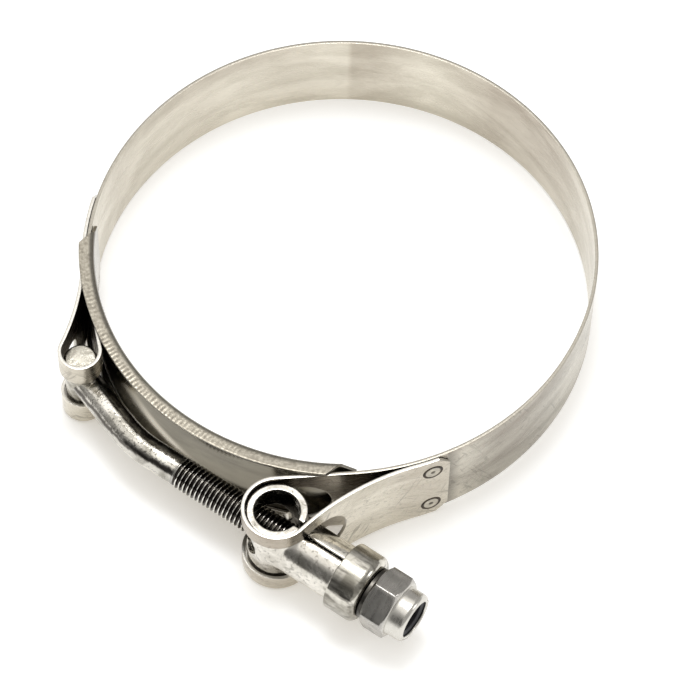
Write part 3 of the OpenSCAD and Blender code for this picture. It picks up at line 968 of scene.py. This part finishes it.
def bolt_path():
    """The rod's middle line from cross head to thread's end, where the thread starts, and its length."""
    bend_at = Vector((-BEND_END, BOLT_Y + BEND_R))
    reach = HEAD_AT - bend_at
    touch = heading(reach) + 360 + degrees(acos(BEND_R / reach.length))
    start = bend_at + BEND_R * unit(touch)
    runs = [(HEAD_AT, start, 0.5), (bend_at, BEND_R, touch, 270.0, 0.5),
            (Vector((-BEND_END, BOLT_Y)), Vector((BOLT_END, BOLT_Y)), 0.5)]
    begin = run_length(runs[0]) + run_length(runs[1]) + BEND_END + THREAD_START
    return path_points(runs, 0.2), begin, sum(run_length(r) for r in runs)


def rod_blank(name, stations, around):
    """A flat sheet that becomes a rod: length along X, angle along Y, change of radius along Z."""
    turn = 2 * pi / MM
    verts = [(s, turn * k / around, drop) for s, drop in stations for k in range(around + 1)]
    return mesh_piece(name, verts, grid_faces(len(stations), around + 1))


def rod_tree(name, sizes, finish):
    """Wraps a sheet round a path as a rod, and rolls a thread into it from a given length on."""
    b = Shaper(name, **sizes)
    calc = b.calc
    path, plain, begin, pitch, tip, root = b.given
    kept, flat = b.start_flat()
    place, tangent = b.follow(path, flat[0])
    past = calc("DIVIDE", calc("SUBTRACT", flat[0], begin), pitch)
    turns = b.plus(past, calc("DIVIDE", flat[1], -2 * pi))
    saw = calc("ABSOLUTE", calc("SUBTRACT", calc("FRACT", b.plus(turns, 8.0)), 0.5))
    crest = b.ramp(b.times(saw, 2.0), 0.25, 0.875)
    depth = calc("SUBTRACT", tip, root)
    threaded = b.plus(root, b.times(crest, depth))
    begun = b.soft_ramp(past, -0.2, 1.0)
    wide = b.mix(begun, plain, threaded)
    radius = b.most(b.plus(wide, flat[2]), 0.0)
    marked = b.store(kept, "crest", b.mix(begun, 0.75, crest))
    out = b.scaled(b.sideways(tangent, (0, 0, 1)), b.times(radius, calc("COSINE", flat[1])))
    up = b.xyz(0.0, 0.0, b.times(radius, calc("SINE", flat[1])))
    moved = b.move(marked, b.vector("ADD", b.vector("ADD", place, out), up))
    b.end(b.put("GeometryNodeMergeByDistance", named={"Geometry": moved, "Distance": 0.002 * MM}), finish)
    return b


def make_bolt():
    points, begin, total = bolt_path()
    curve = path_curve("bolt_path", points)
    sizes = {"Path": curve, "Radius": SHANK_D / 2 * MM, "Thread from": begin * MM, "Pitch": PITCH * MM,
             "Crest": BOLT_D / 2 * MM, "Root": (BOLT_D / 2 - THREAD_DEPTH) * MM}
    plain_to = begin - 0.3
    n = ceil(plain_to / 0.4)
    shank = rod_blank("bolt_shank", [(plain_to * i / n, 0.0) for i in range(n + 1)], 64)
    run_tree(shank, rod_tree("bend_shank", sizes, SHANK_FINISH))
    smooth(shank, 60)
    full_len = total - BOLT_CHAMFER - plain_to
    n = ceil(full_len / (PITCH / 12))
    stations = [(plain_to + full_len * i / n, 0.0) for i in range(n + 1)]
    stations += [(total - BOLT_CHAMFER / 2, -BOLT_CHAMFER / 2), (total - 0.002, -BOLT_CHAMFER),
                 (total - 0.001, -BOLT_D)]
    thread = rod_blank("bolt_thread", stations, 44)
    run_tree(thread, rod_tree("roll_thread", sizes, THREAD_FINISH))
    smooth(thread, 50)
    bpy.data.objects.remove(curve)
    rim = rounded((HEAD_HALF - HEAD_ROUND, HEAD_D / 2 - HEAD_ROUND), HEAD_ROUND, 90, 0, 6)
    profile = [(-HEAD_HALF, 0.0)] + [(-x, y) for x, y in reversed(rim)] + rim + [(HEAD_HALF, 0.0)]
    axis = (Vector((*HEAD_AT, 0)), Vector((0, 0, 1)), Vector((1, 0, 0)))
    head = turned("bolt_cross_head", profile, axis, 64)
    smooth(head, 50, HEAD_FINISH)
    for piece in (shank, thread, head):
        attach(piece, "t_bolt")
    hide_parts("t_bolt")


# The trunnion: rolled sheet whose barrel flows into its neck

def trunnion_tree():
    """Fills the space between two joined rounds and their hollows, cuts the seams, and skins it."""
    b = Shaper("roll_trunnion", **{
        "Barrel radius": BARREL_R, "Barrel half": BARREL_HALF, "Neck radius": NECK_R, "Neck length": NECK_LEN,
        "Sheet": SHEET_T, "Flow": TRUNNION_FLOW, "Barrel seam": SEAM_W, "Neck seam": NECK_SEAM,
        "Entry radius": ENTRY_R})
    calc = b.calc
    barrel_r, barrel_half, neck_r, neck_len, gauge, flow, barrel_seam, neck_seam, entry_r = b.given
    middle = (*(c * MM for c in BARREL_AT), 0.0)
    local = b.scaled(b.vector("SUBTRACT", b.put("GeometryNodeInputPosition"), middle), 1 / MM)
    x, y, z = b.axes(local)

    def minus(u):
        return b.times(u, -1.0)

    def past(u, limit):
        return calc("SUBTRACT", u, limit)

    def ring(u, v):
        return calc("SQRT", b.plus(b.times(u, u), b.times(v, v)))

    def both(u, v, soft=0.12):
        return calc("SMOOTH_MAX", u, v, soft)

    upright, lying = ring(x, y), ring(y, z)
    barrel = both(past(upright, barrel_r), past(calc("ABSOLUTE", z), barrel_half))
    neck = b.most(past(lying, neck_r), minus(x))
    neck = both(neck, past(x, neck_len))
    solid = calc("SMOOTH_MIN", barrel, neck, flow)
    barrel_room = past(upright, past(barrel_r, gauge))
    neck_room = past(lying, past(neck_r, gauge))
    turn = unit(ENTRY_TURN)
    out = calc("ABSOLUTE", y)
    beside = b.plus(b.times(x, turn.y), b.times(out, turn.x))
    before = past(b.times(x, turn.x), b.times(out, turn.y))
    entry = b.most(past(ring(beside, z), entry_r), before)
    hollow = calc("MINIMUM", calc("MINIMUM", barrel_room, neck_room), entry)
    shell = both(solid, minus(hollow))
    on_neck = b.ramp(x, BARREL_R, BARREL_R + TAPER_LEN)
    width = b.mix(on_neck, barrel_seam, neck_seam)
    seam = b.most(past(out, b.times(width, 0.5)), minus(x))
    cut = both(shell, minus(seam), 0.5)
    room = Vector((TRUNNION_ROOM,) * 3)
    low = Vector((BARREL_AT.x - BARREL_R, BOLT_Y - BARREL_R, -BARREL_HALF)) - room
    high = Vector((BARREL_AT.x + NECK_LEN, BOLT_Y + BARREL_R, BARREL_HALF)) + room
    counts = {"Resolution " + axis: round((h - l) / TRUNNION_VOXEL) for axis, l, h in zip("XYZ", low, high)}
    filled = b.put("GeometryNodeVolumeCube", named={
        "Density": minus(cut), "Background": -1.0, "Min": low * MM, "Max": high * MM, **counts})
    skin = b.put("GeometryNodeVolumeToMesh", named={"Volume": filled, "Threshold": 0.0})
    # Marks the insides, which the finish paints dark as shade
    behind = b.most(neck_room, minus(x))
    inner = b.ramp(calc("MINIMUM", barrel_room, behind), 0.1, 0.25, 1.0, 0.0)
    b.end(b.store(skin, "inner", inner), TRUNNION_FINISH)
    return b


def make_trunnion():
    sheet = mesh_piece("trunnion_sheet", [(0, 0, 0)], [])
    run_tree(sheet, trunnion_tree())
    smooth(sheet, 80)
    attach(sheet, "trunnion")
    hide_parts("trunnion")


# The cup, the nut and its locking ring

def bolt_axis(x):
    return Vector((x, BOLT_Y, 0)), Vector((1, 0, 0)), Vector((0, 1, 0))


def make_cup():
    inner = CUP_LEN - CUP_FLOOR
    wall = CUP_LEN - CUP_ROUND - CUP_LIP
    profile = [(CUP_LEN, CUP_HOLE_R), (inner, CUP_HOLE_R), (inner, CUP_IN_R - 0.4), (inner - 0.4, CUP_IN_R)]
    profile += [(0.2, CUP_IN_R), (0.03, CUP_IN_R + 0.2)]
    profile += rounded((CUP_LIP, CUP_OUT_R - CUP_LIP), CUP_LIP, 180, 90, 4)
    profile += [(CUP_LIP + wall * i / 18, CUP_OUT_R) for i in range(1, 18)]
    profile += rounded((CUP_LEN - CUP_ROUND, CUP_OUT_R - CUP_ROUND), CUP_ROUND, 90, 0, 14)
    profile += [(CUP_LEN, CUP_HOLE_R)]
    cup = turned("thrust_cup_shell", profile, bolt_axis(CUP_X), 160)
    side = unit(CUP_DENT_TURN)
    spot = Vector((CUP_X + CUP_DENT_X, BOLT_Y + CUP_OUT_R * side.x, CUP_OUT_R * side.y)) * MM
    for v in cup.data.vertices:
        depth = CUP_DENT_DEPTH * exp(-((v.co - spot).length / (CUP_DENT_R * MM)) ** 2)
        v.co -= Vector((0, side.x, side.y)) * depth * MM
    smooth(cup, 40, CUP_FINISH)
    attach(cup, "thrust_cup")
    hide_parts("thrust_cup")


def nut_hexagon():
    """The hexagon: its corners are rounded, and each station along it trims the outline to a radius."""
    steps, flat_steps = 5, 10
    corner = NUT_AF / sqrt(3)
    centre_r = corner - HEX_ROUND / cos(radians(30))
    face_r = NUT_AF / 2 - HEX_INSET
    outline = []
    for k in range(6):
        turn = 60 * k + NUT_TURN + 90
        centre = centre_r * unit(turn)
        outline += [centre + HEX_ROUND * unit(turn - 30 + 60 * i / steps) for i in range(steps + 1)]
        flat_from = outline[-1]
        flat_to = centre_r * unit(turn + 60) + HEX_ROUND * unit(turn + 30)
        outline += [flat_from.lerp(flat_to, i / flat_steps) for i in range(1, flat_steps)]
    start = NUT_X + WASHER_LEN
    chamfer = [(HEX_CHAMFER * i / 10, face_r + (corner - face_r) * i / 10) for i in range(11)]
    stations = [(start, 0.6 * face_r)] + [(start + x, r) for x, r in chamfer]
    stations += [(start + HEX_LEN - x, r) for x, r in reversed(chamfer)] + [(start + HEX_LEN, COLLAR_R - 0.3)]
    verts = []
    for x, limit in stations:
        for p in outline:
            shrink = min(1.0, limit / p.length)
            verts.append((x, BOLT_Y + p.x * shrink, p.y * shrink))
    faces = grid_faces(len(stations), len(outline), loop="columns", flip=True)
    return mesh_piece("nut_hexagon", verts, faces)


def make_nut():
    hexagon = nut_hexagon()
    washer_r = NUT_AF / 2 - WASHER_INSET
    thread_r = BOLT_D / 2 + 0.05
    washer = [(WASHER_LEN + 0.3, thread_r), (0.5, thread_r), (0.0, thread_r + 0.5), (0.0, washer_r - 0.15),
              (0.15, washer_r), (WASHER_LEN + 0.1, washer_r)]
    face = turned("nut_washer_face", washer, bolt_axis(NUT_X), 96)
    start = WASHER_LEN + HEX_LEN
    end = start + COLLAR_LEN
    seat = end - COLLAR_ROLL
    pocket = COLLAR_R - COLLAR_WALL
    collar = [(start - 0.4, COLLAR_R + 0.35), (start + 0.1, COLLAR_R + 0.12), (start + 0.5, COLLAR_R)]
    collar += rounded((end - COLLAR_ROUND, COLLAR_R - COLLAR_ROUND), COLLAR_ROUND, 90, 20, 9)
    collar += rounded((end - COLLAR_LIP, pocket - COLLAR_ROLL + COLLAR_LIP), COLLAR_LIP, 60, -90, 7)
    collar += [(seat - 0.1, pocket - COLLAR_ROLL + 0.25), (seat - 0.1, pocket)]
    collar += [(seat - INSERT_LEN, pocket), (seat - INSERT_LEN, thread_r)]
    rim = turned("nut_collar", collar, bolt_axis(NUT_X), 96)
    for piece, angle, finish in ((hexagon, 30, NUT_FINISH), (face, 40, SEAT_SHADE_FINISH), (rim, 40, NUT_FINISH)):
        smooth(piece, angle, finish)
        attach(piece, "lock_nut")
    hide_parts("lock_nut")
    back, outer = 0.03 - INSERT_LEN, pocket - 0.03
    ring = [(back, outer), (back, INSERT_IN_R + 0.3), (back + 0.32, INSERT_IN_R), (-0.45, INSERT_IN_R),
            (-0.18, INSERT_IN_R + 0.25), (-0.06, outer - 0.2), (-0.06, outer), (back, outer)]
    insert = turned("locking_ring", ring, bolt_axis(NUT_X + seat), 80)
    smooth(insert, 40, INSERT_FINISH)
    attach(insert, "lock_nut")
    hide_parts("nut_insert")


make_band()
make_bridge()
make_bolt()
make_trunnion()
make_cup()
make_nut()


# Studio: camera, floor, lights
CAMERA_ANGLES = (34.0, 57.334, 1.469)
CAMERA_AIM = (-0.001572, 0.020711)
CAMERA_AWAY = 0.7125
CAMERA_LENS = 190.95
FLOOR_HALF = 3
FLOOR_LIFT = 0.41
FLOOR_MIRRORED = 0.45
FLOOR_PAPER = (0.8, 0.84, 0.9, 1.0)
FLOOR_GLOW = (1.0, 0.915, 0.775, 1.0)
TENT_COLOUR = (1.0, 0.985, 0.96, 1.0)
TENT_LEVEL = 0.5
PANEL_LEVEL = 0.8
OPENING_LEVEL = 0.34


def add_camera():
    """The photograph's view: its turn, lift and small roll, and its aim beside the middle."""
    a, e, roll = (radians(v) for v in CAMERA_ANGLES)
    back = Vector((sin(a) * cos(e), -cos(a) * cos(e), sin(e)))
    right = Vector((cos(a), sin(a), 0))
    up = back.cross(right)
    right, up = (cos(roll) * right + sin(roll) * up, cos(roll) * up - sin(roll) * right)
    aim = (back + CAMERA_AIM[0] * right + CAMERA_AIM[1] * up).normalized()
    right = (right - right.dot(aim) * aim).normalized()
    up = aim.cross(right)
    data = bpy.data.cameras.new("studio_camera")
    data.lens = CAMERA_LENS
    data.clip_start, data.clip_end = 0.01, 50
    camera = add_object("studio_camera", data)
    turn = Matrix((right, up, aim)).transposed().to_4x4()
    camera.matrix_world = Matrix.Translation(CAMERA_AWAY * back) @ turn
    bpy.context.scene.camera = camera


def add_floor():
    """A pale table that the camera and the metal see a little brighter than the light makes it."""
    mesh = bpy.data.meshes.new("studio_floor")
    r, z = FLOOR_HALF, FLOOR_Z * MM
    mesh.from_pydata([(-r, -r, z), (r, -r, z), (r, r, z), (-r, r, z)], [], [(0, 1, 2, 3)])
    material = bpy.data.materials.new("white_table")
    material.use_nodes = True
    n = Nodes(material.node_tree)
    n.tree.nodes.clear()
    ray = n.tree.nodes.new("ShaderNodeLightPath").outputs
    mirrored = n.most(ray["Is Glossy Ray"], ray["Is Transmission Ray"])
    mirrored = n.times(mirrored, FLOOR_MIRRORED)
    lift = n.calc("MULTIPLY_ADD", ray["Is Camera Ray"], FLOOR_LIFT, mirrored)
    paper = n.put("ShaderNodeBsdfDiffuse", FLOOR_PAPER)
    glow = n.put("ShaderNodeEmission", FLOOR_GLOW, lift)
    shown = n.tree.nodes.new("ShaderNodeOutputMaterial")
    n.fill(shown.inputs["Surface"], n.put("ShaderNodeAddShader", paper, glow))
    mesh.materials.append(material)
    floor = add_object("studio_floor", mesh)


def add_softbox(name, place, size, power):
    """A soft lamp that looks at the middle of the part."""
    data = bpy.data.lights.new(name, "AREA")
    data.shape = "RECTANGLE"
    data.size, data.size_y = size
    data.energy = power
    box = add_object(name, data)
    box.location = place
    box.rotation_euler = (-Vector(place)).to_track_quat("-Z", "Y").to_euler()


def add_world():
    """A soft tent: a bright panel overhead, and a dim opening low at the front."""
    world = bpy.data.worlds.new("studio_tent")
    bpy.context.scene.world = world
    world.use_nodes = True
    n = Nodes(world.node_tree)
    n.tree.nodes.clear()
    direction = n.put("ShaderNodeTexCoord", out="Generated")

    def lobe(centre, outer, inner, level):
        near = n.vector("DOT_PRODUCT", direction, Vector(centre).normalized(), out="Value")
        return n.times(n.soft_ramp(near, outer, inner), level)

    panel = lobe((-0.3, 0.1, 0.95), 0.72, 0.86, PANEL_LEVEL)
    opening = lobe((-0.24, -0.95, 0.2), 0.8, 0.92, OPENING_LEVEL)
    level = n.plus(n.calc("SUBTRACT", panel, opening), TENT_LEVEL)
    shown = n.tree.nodes.new("ShaderNodeOutputWorld")
    n.fill(shown.inputs["Surface"], n.put("ShaderNodeBackground", TENT_COLOUR, level))


add_camera()
add_floor()
add_world()
add_softbox("key_softbox", (-0.12, 0.12, 1.1), (0.35, 0.35), 4.5)
add_softbox("side_softbox", (1.0, 0.45, 0.5), (0.3, 0.5), 1.5)
bpy.context.scene.view_settings.view_transform = "Standard"
